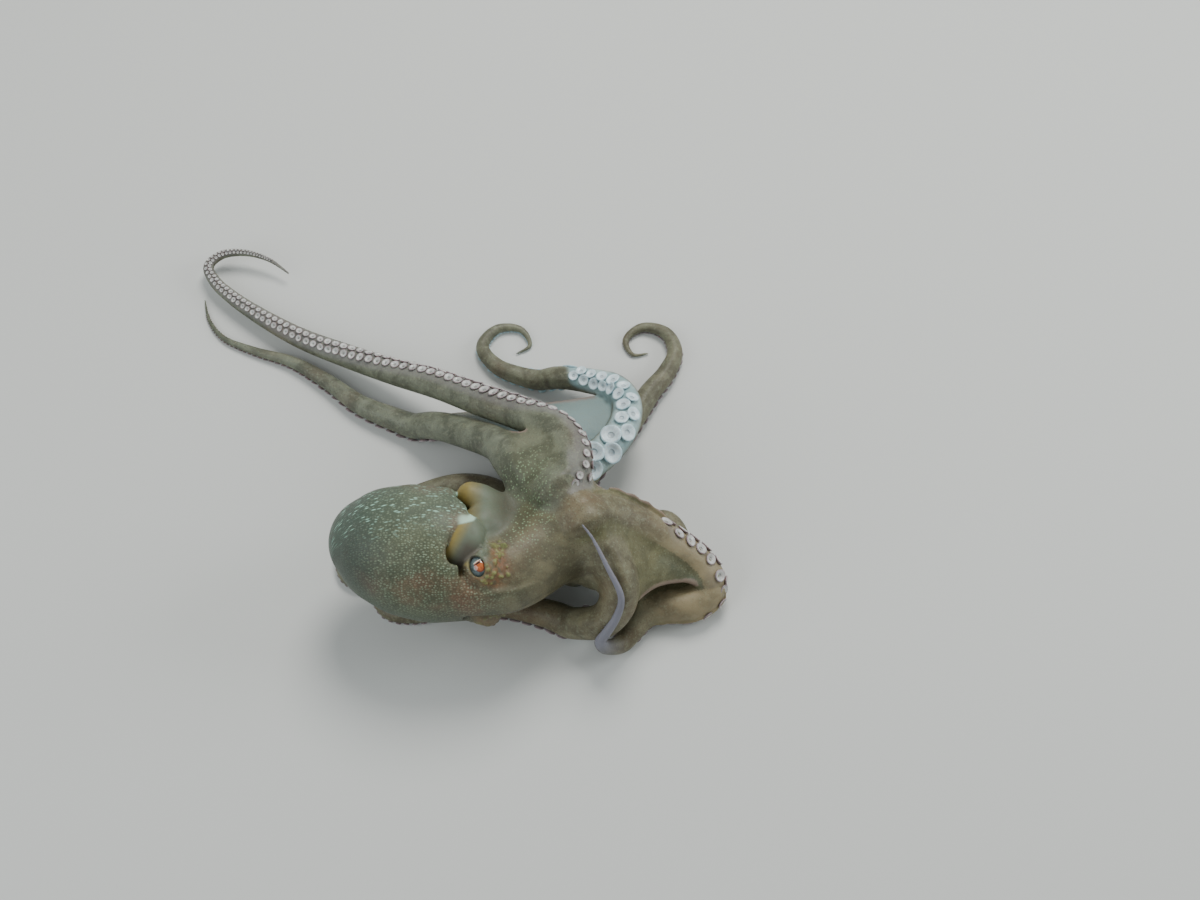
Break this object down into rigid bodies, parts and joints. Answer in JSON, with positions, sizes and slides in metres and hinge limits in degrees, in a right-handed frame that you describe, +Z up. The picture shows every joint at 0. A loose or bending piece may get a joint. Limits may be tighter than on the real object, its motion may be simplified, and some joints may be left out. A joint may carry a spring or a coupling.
{
  "type": "octopus",
  "caption": "Still life-size model of a resting common octopus, its arms reaching out and coiled over one another on a flat floor.",
  "frame": {"origin": "centre of the bounding box's bottom face, on the floor the animal rests on", "axes": "+X from the mantle's end of the body toward the crown of arms, along the longest extent; +Y away from the side that the body's back faces; +Z up from the floor, the shortest extent"},
  "size_m": [0.2894, 0.2502, 0.0819],
  "materials": {
    "mantle_skin": "soft skin, olive grey-brown with fine pale streaks, slightly wet",
    "head_skin": "soft skin, reddish brown with fine pale dots",
    "arm_skin": "soft skin, mauve grey-brown above and pale lilac-white on the sucker side",
    "web_skin": "soft thin skin between the arms",
    "funnel_skin": "smooth grey-green skin with an ochre edge",
    "eye_gloss": "glossy orange-brown eye"
  },
  "bodies": {
    "root": {"mantle": "mantle_skin", "head": "head_skin", "collar": "funnel_skin", "funnel": "funnel_skin", "eye_left": "eye_gloss", "eye_right": "eye_gloss", "arm_L1_base": "arm_skin", "arm_L1_mid": "arm_skin", "arm_L1_tip": "arm_skin", "arm_L2_base": "arm_skin", "arm_L2_mid": "arm_skin", "arm_L2_tip": "arm_skin", "arm_L3_base": "arm_skin", "arm_L3_mid": "arm_skin", "arm_L3_tip": "arm_skin", "arm_L4_base": "arm_skin", "arm_L4_mid": "arm_skin", "arm_L4_tip": "arm_skin", "arm_R4_base": "arm_skin", "arm_R4_mid": "arm_skin", "arm_R4_tip": "arm_skin", "arm_R3_base": "arm_skin", "arm_R3_mid": "arm_skin", "arm_R3_tip": "arm_skin", "arm_R2_base": "arm_skin", "arm_R2_mid": "arm_skin", "arm_R2_tip": "arm_skin", "arm_R1_base": "arm_skin", "arm_R1_mid": "arm_skin", "arm_R1_tip": "arm_skin", "web_L1_L2": "web_skin", "web_L2_L3": "web_skin", "web_L3_L4": "web_skin", "web_L4_R4": "web_skin", "web_R4_R3": "web_skin", "web_R3_R2": "web_skin", "web_R2_R1": "web_skin", "web_R1_L1": "web_skin", "web_L2_fold": "web_skin"}
  },
  "joints": []
}
